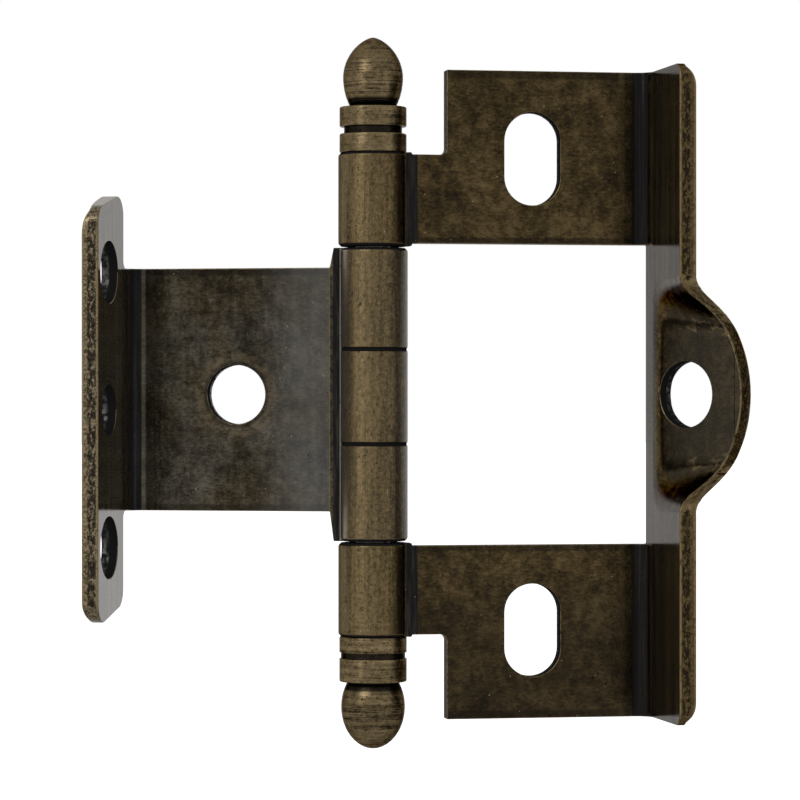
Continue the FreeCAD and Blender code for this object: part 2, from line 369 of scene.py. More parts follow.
@dataclass(frozen=True)
class LeafFinish:
    """Dark antique finish of a rolled and folded leaf, rubbed to brass on the barrel and the edges, with some
    light and shade painted in.

    A reach is a distance from the pin along the plate, which runs in the given direction. The offset moves
    every pattern, so that the two leaves differ. Spans that begin with the larger number fall along the leaf.
    """

    name: str
    offset: float
    direction: Place
    flange_reach: float
    shaded_bend: Span
    highlit_bend: Span
    warmth: float
    streaks: float
    outline_middle: float
    outlines: tuple[Span, ...]
    grazing: Colour
    rim_gold: Colour
    pale_reflection_share: float
    sheen: float
    lower_shade: float
    washer_marks: tuple[Place, ...] = ()
    shadow: Colour = (0.0085, 0.0070, 0.0052)
    # near-black for painted shade at the joggle, in the inner bends and in the hole walls
    night: Colour = (0.0115, 0.0118, 0.0128)
    patina: Colour = (0.040, 0.0275, 0.0118)
    charcoal: Colour = (0.036, 0.0330, 0.0265)
    rubbed: Colour = (0.083, 0.0585, 0.0270)
    brass: Colour = (0.135, 0.0995, 0.050)
    # warm white of the painted glints
    glint: Colour = (0.36, 0.29, 0.18)
    # burnish on the hole walls, and the painted sheen on the plate
    burnish_and_sheen: Colour = (0.105, 0.103, 0.098)
    # pale grey of the painted reflection down one side of the barrel
    pale: Colour = (0.33, 0.29, 0.235)
    # how far along the plate the joggle's painted shade reaches
    joggle_shade_reach: float = 3.70
    barrel_blur: float = 0.06
    # the side of the barrel that is painted lighter, as if lit
    lit_side: Place = (-0.80, -0.60, 0)
    lit_span: Span = (-0.7, 3.3)
    reflection_direction: Place = (-0.98, 0.18, 0)
    reflection_span: Span = (2.1, 2.75)
    sheen_span: Span = (11.5, 5.0)
    shade_heights: Span = (-14.0, -22.0)
    washer_groove: Span = (2.7, 3.1)
    washer_ring: Span = (3.30, 3.75)
    ear_face: Span = (0.2, 1.2)
    ear_rim: Span = (1.7, 3.0)
    flange_skin: Span = (-0.02, 0.08)
    joggle_shade_depth: Span = (0.05, 0.15)
    joggle_shade_blur: float = 0.12
    groove_depth: Span = (0.03, 0.07)
    crevice_shade_reach: float = 1.1
    relief: float = 0.03

    def beyond(self, reach: Signal, span: Span) -> Signal:
        """Smooth step along the leaf, with the span counted from the flange."""
        return reach.ramp(self.flange_reach + span[0], self.flange_reach + span[1])

    def on_flange(self, reach: Signal, blur: float) -> Signal:
        """1 on the skin of the flange that faces the barrel."""
        low, high = self.flange_skin
        return reach.between(self.flange_reach + low, self.flange_reach + high, blur)

    def plate(self, s: Shader, reach: Signal) -> tuple[Signal, Signal]:
        """Mottled patina of the flat faces.

        Clouds of several sizes are added up. Where the sum is low the finish is thick and nearly black, and
        where it is high the brass shows through. Fine hairs run both ways. On top lie a painted sheen near
        the barrel, a painted highlight and painted shade at the inner bend, and, on one leaf, colour that
        darkens towards the bottom.

        Args:
            s: Shader that is being built.
            reach: Distance along the plate.

        Returns:
            The colour, and the sum that made it.
        """
        cloud = s.noise(0.20, 3, 0.55)
        blotch = s.noise(0.85, 4, 0.65)
        mottle = s.noise(2.9, 5, 0.78, (0.75, 0.75, 1.5))
        streak = s.noise(1.9, 4, 0.65, (1, 1, 0.05))
        tone = blotch * 0.70 + mottle * 0.90 + cloud * 0.50 + streak * self.streaks - 0.5 * self.streaks
        brown = s.noise(0.16, 2).ramp(0.62, 0.40).larger(self.warmth)
        fine = s.hairs(3.1, 0.016, (1, 1, 0.10)).larger(s.hairs(2.3, 0.014, (0.22, 0.22, 1)))
        patches = s.noise(0.55, 2).ramp(0.46, 0.62)
        height = s.along((0, 0, 1))
        level = abs(height - self.outline_middle) + mottle * 0.5 - 0.25
        sheen = reach.ramp(*self.sheen_span) * (cloud * 0.8 + blotch * 0.4 + 0.4)
        folded = s.attribute("across").ramp(0.3, -0.3)
        lines = s.noise(1.5, 5, 0.75, (1, 1, 0.03)).ramp(0.40, 0.62)
        lit = s.mix(lines * 0.55 + mottle.ramp(0.36, 0.64) * 0.40, self.shadow, self.brass)
        colour = s.layered(
            s.mix(brown, self.charcoal, self.patina),
            (tone.ramp(1.10, 0.82) * 0.85, self.shadow),
            (tone.ramp(1.02, 1.26) * 0.9, self.rubbed),
            (tone.ramp(1.24, 1.46) * 0.8, self.brass),
            (fine * patches * 0.45, self.rubbed),
            *((level.between(low, high, 0.25) * 0.6, self.shadow) for low, high in self.outlines),
            # painted sheen on the plate near the barrel
            (sheen * self.sheen, self.burnish_and_sheen),
            # painted highlight where the plate starts to bend
            (reach.between(*self.highlit_bend, 0.25) * folded * mottle * 0.6, self.rubbed),
            # painted shade in the inner bend
            (reach.between(*self.shaded_bend, 0.2) * folded * 0.85, self.night),
            *self.washer_layers(s, mottle * 0.7 + blotch * 0.5),
            (height.ramp(*self.shade_heights) * self.lower_shade, self.shadow),
            (self.beyond(reach, self.ear_face) * 0.55, self.charcoal),
            (self.on_flange(reach, 0.12) * folded * 0.60, lit))
        return colour, tone

    def washer_layers(self, s: Shader, patchy: Signal) -> list[Layer]:
        """Marks pressed round a hole: a dark groove, and a rubbed ring outside it.

        Args:
            s: Shader that is being built.
            patchy: Noise that breaks the ring up.

        Returns:
            Share and colour of each mark, from below.
        """
        layers = []
        for centre in self.washer_marks:
            away = s.away(centre)
            groove = away.between(*self.washer_groove, 0.25)
            ring = away.between(*self.washer_ring, 0.35) * patchy.ramp(0.42, 0.72)
            layers += [(groove * 0.50, self.shadow), (ring * 0.30, self.brass)]
        return layers

    def roll(self, s: Shader) -> Signal:
        """Brass of the barrel, with painted light: lighter on the side toward the lamps and darker round the
        other side, a painted pale reflection down one side, and painted glints.
        """
        streak = s.noise(2.6, 5, 0.7, (1, 1, 0.05))
        mottle = s.noise(2.8, 5, 0.72)
        grain = s.noise(7.5, 3, 0.7)
        # painted light: lighter on the side toward the lamps
        side_light = s.along(self.lit_side).ramp(*self.lit_span)
        lit = (streak.ramp(0.34, 0.66) * 0.46 + mottle.ramp(0.36, 0.64) * 0.52
               + grain.ramp(0.35, 0.65) * 0.40 + side_light * 0.56 - 0.62)
        # painted pale reflection down one side of the barrel
        side = s.along(self.reflection_direction).ramp(*self.reflection_span)
        return s.layered(
            s.mix(lit, self.patina, self.brass),
            (side * self.pale_reflection_share, self.pale),
            (s.noise(1.9, 5, 0.78, (1, 1, 0.45)).ramp(0.42, 0.32) * 0.75, self.shadow),
            # painted glints
            (s.noise(4.2, 3, 0.7, (1, 1, 0.45)).ramp(0.60, 0.74) * 0.30, self.glint))

    def sheared(self, s: Shader, across: Signal, reach: Signal) -> tuple[Signal, Signal]:
        """Sheared rim: gold blobs, dark torn marks in its middle and a brass line along both arrises.

        Args:
            s: Shader that is being built.
            across: Place through the sheet, from -1 to 1.
            reach: Distance along the plate.

        Returns:
            The colour, and 1 where the rim is torn.
        """
        mottle = s.noise(4.6, 4, 0.7)
        upright = s.attribute("level").ramp(0.35, 0.12)
        marks = s.noise(2.3, 4, 0.72, (1.3, 1.3, 0.60)).ramp(0.45, 0.54)
        torn = marks * abs(across + 0.20).ramp(0.62, 0.40) * upright
        line = abs(across).between(0.80, 0.95, 0.10) * s.noise(1.3, 3, 0.6).ramp(0.32, 0.55)
        colour = s.layered(
            s.mix(mottle.ramp(0.40, 0.60), self.patina, self.rim_gold),
            (torn * 0.9, self.shadow),
            (self.beyond(reach, self.ear_rim) * mottle.ramp(0.70, 0.40) * 0.80, self.shadow),
            (line * 0.85, self.brass))
        return colour, torn

    def pierced(self, s: Shader, across: Signal) -> Signal:
        """Wall of a punched hole, with a little burnish near the outer skin, torn and dark near the other.
        Its near-black ground is partly painted shade inside the hole.

        Args:
            s: Shader that is being built.
            across: Place through the sheet, from -1 to 1.

        Returns:
            The colour.
        """
        burnish = across.ramp(-0.05, 0.15) * across.ramp(1.0, 0.75)
        streak = s.noise(2.2, 3, 0.6, (1, 1, 0.3))
        ground = s.mix(burnish * streak.ramp(0.30, 0.65), self.night, self.burnish_and_sheen)
        return s.mix(across.between(-0.10, 0.0, 0.08) * 0.6, ground, self.rubbed)

    def material(self) -> bpy.types.Material:
        """The leaf's material."""
        s = Shader(bpy.data.materials.new(self.name), self.offset)
        reach = s.along(self.direction)
        radius = s.from_pin()
        barrel = radius.ramp(BARREL_RADIUS + 2 * self.barrel_blur, BARREL_RADIUS + self.barrel_blur)
        across = s.attribute("across")
        rim = s.attribute("rim")
        wall = s.attribute("wall")
        worn = s.attribute("worn")
        # rims inside the barrel's radius are the knuckle ends, which get painted shade from the gaps between
        # the knuckles
        deep = radius.ramp(*(BARREL_RADIUS - depth for depth in self.groove_depth))

        plate, tone = self.plate(s, reach)
        sheared, torn = self.sheared(s, across, reach)
        # painted shade in the narrow gap where the plate's joggle meets the barrel
        joggle_shade = radius.ramp(*(BARREL_RADIUS + depth for depth in self.joggle_shade_depth)) * reach.ramp(
            self.joggle_shade_reach + self.joggle_shade_blur, self.joggle_shade_reach)
        folds = s.noise(3.4, 4, 0.7, (1, 1, 0.06)).ramp(0.42, 0.66)
        mottle = s.noise(2.2, 3, 0.65)
        specks = s.cells(1.6).ramp(0.17, 0.07) * s.noise(0.9, 1).ramp(0.46, 0.60)
        # painted glints, scattered
        painted_glints = s.cells(1.25).ramp(0.085, 0.03) * s.noise(0.7, 1).ramp(0.50, 0.62)
        colour = s.layered(
            plate,
            (barrel, self.roll(s)),
            # the joggle's painted shade, near-black
            (joggle_shade * 0.93, s.mix(folds * 0.7, self.night, self.charcoal)),
            (rim, sheared),
            # hole walls: torn metal, and partly painted shade inside the holes
            (wall, self.pierced(s, across)),
            (worn * mottle.ramp(0.30, 0.62) * (0.9 - barrel * 0.7), self.brass),
            (specks * 0.85, self.shadow),
            (painted_glints * 0.75, self.glint),
            # painted shade on the knuckle ends
            (deep * rim * (1 - wall) * 0.95, self.shadow),
            # painted shade in corners and crevices, less on the barrel
            (s.crevice_shade(self.crevice_shade_reach).ramp(0.18, 0.85) * (0.92 - barrel * 0.80), self.shadow))

        flange = self.on_flange(reach, 0.25) * (1 - rim)
        roughness = (0.13 + mottle * 0.08 + barrel * 0.20 + rim * 0.12 + specks * 0.10) * (1 - flange * 0.45)
        height = tone * 0.35 - specks * 0.5 - torn * rim * 1.5 + mottle * 0.25
        fold = s.noise(2.6, 4, 0.7, (1, 1, 0.02)).ramp(0.58, 0.42)
        # painted shade in the inner bend, made dull black below
        bend = reach.between(*self.shaded_bend, 0.15) * (fold * 0.7 + 0.3) * across.ramp(0.3, -0.3)
        # dull black: painted shade at the joggle, on the knuckle ends and in the inner bend, and partly
        # painted shade in the hole walls
        soot_and_shade = (wall * (1 - across.between(0.1, 0.8, 0.15) * mottle.ramp(0.40, 0.60) * 0.5)).larger(
            joggle_shade * (0.80 - folds * 0.5)).larger(deep * rim).larger(bend * (1 - rim) * 0.9)
        normal = s.bump(height * (1 - flange * 0.6), self.relief)
        return s.metal(colour, roughness, normal, soot_and_shade, self.grazing, 1 - flange * 0.35)


@dataclass(frozen=True)
class TipFinish:
    """Rubbed brass with the rings that the turning tool left, nearly black in the necks, with painted light:
    lighter on the side toward the lamps, painted glints, and painted shade in the corners.
    """

    name: str
    ring_scale: float
    ring_share: float
    shadow: Colour = (0.0065, 0.0056, 0.0045)
    olive: Colour = (0.040, 0.0290, 0.0140)
    brass: Colour = (0.185, 0.138, 0.074)
    grazing: Colour = (0.42, 0.41, 0.41)
    # warm white of the painted glints
    glint: Colour = (0.38, 0.30, 0.18)
    # the side of the tip that is painted lighter, as if lit
    lit_side: Place = (-0.75, -0.55, 0)
    lit_span: Span = (-2.6, 1.6)
    crevice_shade_reach: float = 0.9
    relief: float = 0.035

    def material(self) -> bpy.types.Material:
        """The tip's material."""
        s = Shader(bpy.data.materials.new(self.name))
        turned = s.noise(self.ring_scale, 4, 0.72, (0.06, 0.06, 1))
        mottle = s.noise(2.3, 5, 0.72)
        blotch = s.noise(0.9, 3, 0.6)
        # painted light: lighter on the side toward the lamps
        side_light = s.along(self.lit_side).ramp(*self.lit_span)
        grain = s.noise(7.5, 3, 0.7)
        lit = (turned.ramp(0.30, 0.70) * self.ring_share + mottle.ramp(0.33, 0.67) * 0.40
               + blotch.ramp(0.3, 0.7) * 0.20 + grain.ramp(0.33, 0.67) * 0.20 + side_light * 0.50
               - 0.42 - 0.5 * self.ring_share)
        dark_rings = turned.ramp(0.43, 0.35) * s.noise(1.1, 3, 0.7).ramp(0.42, 0.60)
        pits = s.noise(2.2, 5, 0.78, (1, 1, 1.8)).ramp(0.42, 0.34)
        # painted glints
        painted_glints = s.cells(1.4).ramp(0.10, 0.03) * s.noise(0.8, 1).ramp(0.48, 0.60)
        foot = (s.attribute("deep") * 1.3 + mottle * 0.5 - 0.40).ramp(0.05, 0.95)
        colour = s.layered(
            s.mix(lit, self.olive, self.brass),
            (dark_rings * 0.85, self.shadow),
            (pits * 0.8, self.shadow),
            (s.attribute("ring") * s.noise(1.0, 3, 0.7).ramp(0.34, 0.56), self.shadow),
            (s.attribute("worn") * mottle.ramp(0.30, 0.55) * 0.8, self.brass),
            (painted_glints * 0.6, self.glint),
            (foot * 0.95, self.shadow),
            # painted shade in corners and crevices
            (s.crevice_shade(self.crevice_shade_reach).ramp(0.15, 0.8) * 0.9, self.shadow))
        roughness = 0.20 + mottle * 0.12
        height = turned * 0.6 + mottle * 0.6 - pits * 0.6
        return s.metal(colour, roughness, s.bump(height, self.relief), 0.0, self.grazing)


@dataclass(frozen=True)
class PinFinish:
    """Plain drawn steel of the pin, dull with old oil."""

    name: str = "pin_steel"
    steel: Colour = (0.16, 0.15, 0.14)
    oil: Colour = (0.05, 0.04, 0.03)

    def material(self) -> bpy.types.Material:
        """The pin's material."""
        s = Shader(bpy.data.materials.new(self.name))
        drawn = s.noise(5.0, 3, 0.6, (1, 1, 0.04))
        stain = s.noise(0.8, 3, 0.6)
        colour = s.mix(stain, self.steel, self.oil)
        return s.metal(colour, 0.25 + drawn * 0.2, s.bump(drawn, 0.01))


def mesh_piece(name: str, mesh: bpy.types.Mesh, material: bpy.types.Material) -> bpy.types.Object:
    """Puts a mesh into the scene with its material.

    Args:
        name: Name of the piece.
        mesh: Its mesh, already in place.
        material: Its finish.

    Returns:
        The new object, at the origin.
    """
    mesh.materials.clear()
    mesh.materials.append(material)
    piece = bpy.data.objects.new(name, mesh)
    bpy.context.scene.collection.objects.link(piece)
    return piece


@dataclass
class SheetLeaf:
    """A folded leaf: the CAD leaf's skin, welded, with its sharp edges rounded.

    The outer reach is that of the flange's far skin, and the near edge is the flange's free edge, measured
    square to the plate. The corner sizes say how far and how deep the flange's free corners are rolled.
    """

    node: str
    body: str
    finish: LeafFinish
    outer_reach: float
    near_edge: float
    corner_heights: Span
    corner_fade: Span
    corner_roll: float
    corner_slope: float
    edge_round: float = 0.10
    edge_steps: int = 3
    sharp_angle: float = 28.0
    shading_angle: float = 40.0
    flat_angle: float = 0.4
    untouched_radius: float = 3.0
    closed_share: float = 0.05
    weld_distance: float = 0.001
    cuts: int = 10
    cut_crowding: float = 1.3
    cut_zone: float = 0.9
    cut_snap: float = 0.0001
    skin_depth: float = 0.02
    deepest_roll: float = 1.40

    def welded(self) -> bpy.types.Mesh:
        """The CAD skin as one closed mesh of flat faces.

        Equal points become one point, and triangles that lie in one plane become one face.

        Returns:
            A new mesh.
        """
        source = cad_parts[self.node].data
        source.calc_loop_triangles()
        corners = read_numbers(source.loop_triangles, "vertices", 3, np.int32)
        unique, index = np.unique(read_numbers(source.vertices, "co", 3), axis=0, return_inverse=True)
        triangles = index.reshape(-1)[corners]
        whole = ((triangles[:, 0] != triangles[:, 1]) & (triangles[:, 1] != triangles[:, 2])
                 & (triangles[:, 2] != triangles[:, 0]))
        mesh = bpy.data.meshes.new(self.node + "_skin")
        mesh.from_pydata(unique, [], triangles[whole])
        with edited(mesh) as shell:
            bmesh.ops.remove_doubles(shell, verts=shell.verts, dist=self.weld_distance * MM)
            bmesh.ops.dissolve_limit(shell, angle_limit=math.radians(self.flat_angle), verts=shell.verts,
                                     edges=shell.edges)
        return mesh

    def patches(self, mesh: bpy.types.Mesh) -> np.ndarray:
        """Labels the smooth patches that the sharp edges leave.

        Every face starts with its own number. Two faces that share a soft edge both take the smaller
        number, over and over, until nothing changes.

        Args:
            mesh: A closed mesh, two faces to each edge.

        Returns:
            The label of each face.
        """
        corner_edge, _, corner_face = corners_of(mesh)
        normal = read_numbers(mesh.polygons, "normal", 3)
        pairs = corner_face[np.argsort(corner_edge, kind="stable")].reshape(-1, 2)
        turn = (normal[pairs[:, 0]] * normal[pairs[:, 1]]).sum(axis=1)
        soft = pairs[turn > math.cos(math.radians(self.sharp_angle))]
        label = np.arange(len(mesh.polygons))
        while True:
            lower = np.minimum(label[soft[:, 0]], label[soft[:, 1]])
            fresh = label.copy()
            np.minimum.at(fresh, soft[:, 0], lower)
            np.minimum.at(fresh, soft[:, 1], lower)
            fresh = fresh[fresh]
            if np.array_equal(fresh, label):
                return label
            label = fresh

    def mark_sheet(self, mesh: bpy.types.Mesh) -> None:
        """Stores where each point lies through the sheet, and which faces are sheared rims.

        "across" is 1 on the side that is the outside of the roll, -1 on the other side and in between on a
        rim. "rim" is 1 on every face that belongs to neither side. "wall" is 1 on those rims that run round
        a hole: the normals of a closed ring of faces cancel out. "level" is 1 on faces that look straight up
        or down.

        Args:
            mesh: The welded skin.
        """
        label = self.patches(mesh)
        _, corner_point, corner_face = corners_of(mesh)
        area = read_numbers(mesh.polygons, "area")
        centre = read_numbers(mesh.polygons, "center", 3)
        behind_pin = np.hypot(centre[:, 0], centre[:, 1] - BARREL_RADIUS * MM)
        total = np.bincount(label, weights=area, minlength=len(label))
        skins = np.argsort(total)[-2:]
        on_skin = np.flatnonzero(np.isin(label, skins))
        outer = label[on_skin[np.argmin(behind_pin[on_skin])]]
        inner = skins.sum() - outer
        across = np.zeros(len(mesh.vertices), np.float32)
        across[corner_point[label[corner_face] == outer]] = 1
        across[corner_point[label[corner_face] == inner]] = -1
        ends = read_numbers(mesh.edges, "vertices", 2, np.int32)
        pull = np.zeros(len(across))
        np.add.at(pull, ends[:, 0], across[ends[:, 1]])
        np.add.at(pull, ends[:, 1], across[ends[:, 0]])
        across = np.where(across == 0, np.sign(pull), across)
        store_mark(mesh, "across", Domain.POINT, across)
        rim = ((label != outer) & (label != inner)).astype(np.float32)
        normal = read_numbers(mesh.polygons, "normal", 3)
        facing = [np.bincount(label, weights=area * normal[:, axis], minlength=len(label))
                  for axis in range(3)]
        closed = np.linalg.norm(facing, axis=0) < self.closed_share * total
        store_mark(mesh, "rim", Domain.FACE, rim)
        store_mark(mesh, "wall", Domain.FACE, rim * closed[label])
        store_mark(mesh, "level", Domain.FACE, np.abs(normal[:, 2]))
        log.info("%s: %d faces, %d on rims", self.node, len(label), int(rim.sum()))

    def roll_corners(self, mesh: bpy.types.Mesh) -> None:
        """Draws the outer skin in at the flange's two free corners, as blanking leaves it.

        The skin is first cut along a fine grid near each corner. With s the nearness of the corner, 1 at
        the corner and 0 at the fade's length along either side, a point moves in by the roll times
        1 - sqrt(1 - s squared), which is a quarter of an ellipse, but by no more than the deepest roll. Where
        the flange's end slants, heights are counted from the slant.

        Args:
            mesh: The marked skin, changed in place.
        """
        outward = Vector(self.finish.direction)
        towards = Vector((outward.y, -outward.x, 0)) * (1 if outward.x > 0 else -1)
        steps = np.linspace(0, 1, self.cuts + 1)[1:] ** self.cut_crowding
        planes = [(towards, self.near_edge - self.corner_fade[0] * step) for step in steps]
        for height in self.corner_heights:
            side = math.copysign(1, height)
            planes += [(Vector((0, 0, 1)), height - side * self.corner_fade[1] * step) for step in steps]
        with edited(mesh) as shell:
            for normal, distance in planes:
                faces = [face for face in shell.faces
                         if face.calc_center_median().dot(outward) > (self.outer_reach - self.cut_zone) * MM]
                parts = {part for face in faces for part in (*face.verts, *face.edges, face)}
                bmesh.ops.bisect_plane(shell, geom=list(parts), dist=self.cut_snap * MM,
                                       plane_co=normal * distance * MM, plane_no=normal)
        points = read_numbers(mesh.vertices, "co", 3) / MM
        back = self.near_edge - points @ np.array(towards)
        level = points[:, 2] - self.corner_slope * back
        down = np.min([np.abs(level - height) for height in self.corner_heights], axis=0)
        share = np.clip(1 - np.hypot(back / self.corner_fade[0], down / self.corner_fade[1]), 0, 1)
        on_skin = points @ np.array(outward) > self.outer_reach - self.skin_depth
        inward = np.minimum(self.corner_roll * (1 - np.sqrt(1 - share ** 2)), self.deepest_roll)
        points -= np.outer(inward * on_skin, np.array(outward))
        mesh.vertices.foreach_set("co", (points * MM).astype(np.float32).ravel())
        mesh.update()

    def round_edges(self, mesh: bpy.types.Mesh) -> None:
        """Rounds the sharp edges with narrow strips of faces.

        Args:
            mesh: The marked skin, changed in place.
        """
        limit = math.radians(self.sharp_angle)
        inside = self.untouched_radius * MM
        with edited(mesh) as shell:
            sharp = [edge for edge in shell.edges
                     if edge.calc_face_angle(0) > limit
                     and max(point.co.xy.length for point in edge.verts) > inside]
            bmesh.ops.bevel(shell, geom=sharp, offset=self.edge_round * MM, offset_type="OFFSET",
                            segments=self.edge_steps, profile=0.5, affect="EDGES", clamp_overlap=False,
                            loop_slide=True)

    def mark_wear(self, mesh: bpy.types.Mesh) -> None:
        """Stores "worn", which is 1 on the points that touch nothing but the strips of the roundings.

        The width of a long face is about twice its area over its perimeter, and a strip is narrower than
        the rounding it belongs to.

        Args:
            mesh: The rounded skin.
        """
        points = read_numbers(mesh.vertices, "co", 3)
        ends = read_numbers(mesh.edges, "vertices", 2, np.int32)
        length = np.linalg.norm(points[ends[:, 0]] - points[ends[:, 1]], axis=1)
        area = read_numbers(mesh.polygons, "area")
        corner_edge, corner_point, corner_face = corners_of(mesh)
        perimeter = np.bincount(corner_face, weights=length[corner_edge])
        wide = 2 * area / perimeter > self.edge_round * MM
        worn = np.ones(len(points), np.float32)
        worn[corner_point[wide[corner_face]]] = 0
        store_mark(mesh, "worn", Domain.POINT, worn)

    def build(self) -> None:
        """Makes the leaf, dresses it and hangs it on its body."""
        mesh = self.welded()
        self.mark_sheet(mesh)
        self.roll_corners(mesh)
        self.round_edges(mesh)
        self.mark_wear(mesh)
        mesh.shade_smooth()
        mesh.set_sharp_from_angle(angle=math.radians(self.shading_angle))
        piece = mesh_piece(self.node + "_dressed", mesh, self.finish.material())
        weighted = piece.modifiers.new("weighted_normals", "WEIGHTED_NORMAL")
        weighted.keep_sharp = True
        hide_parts(self.node)
        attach(piece, self.body)
        log.info("%s: %d faces after rounding", self.node, len(mesh.polygons))


class Point(Enum):
    """Which way a tip points along the pin."""

    UP = 1
    DOWN = -1


@dataclass
class TurnedTip:
    """A turned minaret tip: two collars, a groove between them, a neck and a ball.

    Heights are counted along the pin from the base, and the bore runs back from the tip's own foot.
    """

    name: str
    node: str
    finish: TipFinish
    point: Point
    collar_radius: float
    low_collar: float
    groove_radius: float
    groove: float
    high_collar: float
    neck_radius: float
    neck: float
    ball_radius: float
    ball_low: float
    ball_high: float
    ball_power: float
    ring_seed: int
    ring_count: int
    ring_zone: Span
    ring_depth: float = 0.022
    ring_width: float = 0.035
    ring_shares: Span = (0.2, 1.0)
    dark_foot: float = 0.95
    foot_blur: float = 0.6
    step_depth: float = 0.04
    step_blur: float = 0.08
    base: float = 22.05
    bore: float = 4.0
    outer_round: float = 0.17
    inner_round: float = 0.05
    longest_round: float = 0.45
    corner_steps: int = 8
    low_steps: int = 80
    high_steps: int = 130
    around: int = 96
    shading_angle: float = 60.0

    def collar_profile(self) -> tuple[np.ndarray, np.ndarray]:
        """Radius and height of the stepped part, with its corners rounded, and how worn each point is.

        Each corner is cut off at its rounding's length along both sides and replaced by a curve that leaves
        one side and joins the other, a quadratic between the two cuts with the corner as its pull.

        Returns:
            Points as rows of radius and height, and the wear of each point.
        """
        rise = np.cumsum([0, self.low_collar, self.groove, self.high_collar, self.neck])
        corner = np.array([
            (PIN_RADIUS, self.bore), (PIN_RADIUS, rise[0]), (self.collar_radius, rise[0]),
            (self.collar_radius, rise[1]), (self.groove_radius, rise[1]), (self.groove_radius, rise[2]),
            (self.collar_radius, rise[2]), (self.collar_radius, rise[3]), (self.neck_radius, rise[3]),
            (self.neck_radius, rise[4])])
        before, here, after = corner[:-2], corner[1:-1], corner[2:]
        proud = np.isclose(here[:, 0], self.collar_radius)
        back = before - here
        on = after - here
        back_length = np.hypot(*back.T)
        on_length = np.hypot(*on.T)
        cut = np.where(proud, self.outer_round, self.inner_round)
        cut = np.minimum(cut, self.longest_round * np.minimum(back_length, on_length))
        start = here + back * (cut / back_length)[:, None]
        end = here + on * (cut / on_length)[:, None]
        t = np.linspace(0, 1, self.corner_steps)[None, :, None]
        curve = (1 - t) ** 2 * start[:, None] + 2 * t * (1 - t) * here[:, None] + t ** 2 * end[:, None]
        worn = proud[:, None] * np.sin(math.pi * t[..., 0]) ** 2
        points = np.vstack([[0, self.bore], corner[0], curve.reshape(-1, 2), corner[-1]])
        return points, np.pad(worn.ravel(), (2, 1))

    def ball_profile(self) -> tuple[np.ndarray, np.ndarray]:
        """Radius and height of the ball, with the rings that the tool left, and how deep each ring is.

        Below its widest point the ball is an arc of a circle from the neck. Above it the radius is the
        widest radius times (1 - share of the height squared) to a power: half is an ellipse, more is
        pointed. Each ring takes a bell-shaped bite of its own depth at its own height.

        Returns:
            Points as rows of radius and height, and the ring share of each point.
        """
        start = self.low_collar + self.groove + self.high_collar + self.neck
        overhang = self.ball_radius - self.neck_radius
        swing = (overhang ** 2 + self.ball_low ** 2) / (2 * overhang)
        drop = np.linspace(self.ball_low, 0, self.low_steps)[1:]
        low = self.ball_radius - swing + np.sqrt(swing ** 2 - drop ** 2)
        share = np.sin(np.linspace(0, math.pi / 2, self.high_steps))[1:]
        high = self.ball_radius * (1 - share ** 2) ** self.ball_power
        radius = np.concatenate([low, high])
        height = start + self.ball_low + np.concatenate([-drop, share * self.ball_high])
        draw = np.random.default_rng(self.ring_seed)
        places = start + draw.uniform(*self.ring_zone, self.ring_count) * (self.ball_low + self.ball_high)
        depths = draw.uniform(*self.ring_shares, self.ring_count)
        bites = depths * np.exp(-((height[:, None] - places) / self.ring_width) ** 2)
        ring = np.minimum(bites.sum(axis=1), 1)
        radius = np.maximum(radius - self.ring_depth * ring, 0)
        radius[-1] = 0
        return np.column_stack([radius, height]), ring

    def build(self) -> None:
        """Turns the profile about the pin, dresses the tip and hangs it on the frame.

        A point of the surface is (radius * cos a, radius * sin a, height) for every angle a. The first and
        last profile points lie on the axis and are one point each.
        """
        collars, worn = self.collar_profile()
        ball, ring = self.ball_profile()
        profile = np.vstack([collars, ball])
        above_neck = ball[:, 1] - collars[-1, 1]
        foot = np.clip((self.dark_foot - above_neck) / (self.foot_blur * self.dark_foot), 0, 1)
        deep = np.clip((self.collar_radius - self.step_depth - collars[:, 0]) / self.step_blur, 0, 1)
        marks = {"ring": np.pad(ring, (len(collars), 0)), "worn": np.pad(worn, (0, len(ball))),
                 "deep": np.concatenate([deep, foot])}
        height = (self.base + profile[1:-1, 1]) * self.point.value
        radius = profile[1:-1, 0]
        angle = np.arange(self.around) * 2 * math.pi / self.around
        grid = np.stack([radius[:, None] * np.cos(angle), radius[:, None] * np.sin(angle),
                         np.broadcast_to(height[:, None], (len(height), self.around))], axis=2)
        poles = np.array([(0, 0, (self.base + profile[end, 1]) * self.point.value) for end in (0, -1)])
        points = np.vstack([grid.reshape(-1, 3), poles]) * MM
        row = np.arange(len(height) - 1)[:, None] * self.around
        here = np.arange(self.around)
        beside = (here + 1) % self.around
        quads = np.stack([row + here, row + beside, row + self.around + beside, row + self.around + here],
                         axis=2).reshape(-1, 4)
        last = (len(height) - 1) * self.around
        first_pole, last_pole = len(points) - 2, len(points) - 1
        start_cap = np.column_stack([np.full(self.around, first_pole), beside, here])
        end_cap = np.column_stack([np.full(self.around, last_pole), last + here, last + beside])
        if self.point is Point.DOWN:
            quads, start_cap, end_cap = quads[:, ::-1], start_cap[:, ::-1], end_cap[:, ::-1]
        mesh = bpy.data.meshes.new(self.name)
        mesh.from_pydata(points, [], [*quads.tolist(), *start_cap.tolist(), *end_cap.tolist()])
        mesh.update()
        for name, values in marks.items():
            spread = np.concatenate([np.repeat(values[1:-1], self.around), values[[0, -1]]])
            store_mark(mesh, name, Domain.POINT, spread)
        mesh.shade_smooth()
        mesh.set_sharp_from_angle(angle=math.radians(self.shading_angle))
        piece = mesh_piece(self.name, mesh, self.finish.material())
        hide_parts(self.node)
        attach(piece, "frame")
        log.info("%s: %d faces", self.name, len(mesh.polygons))


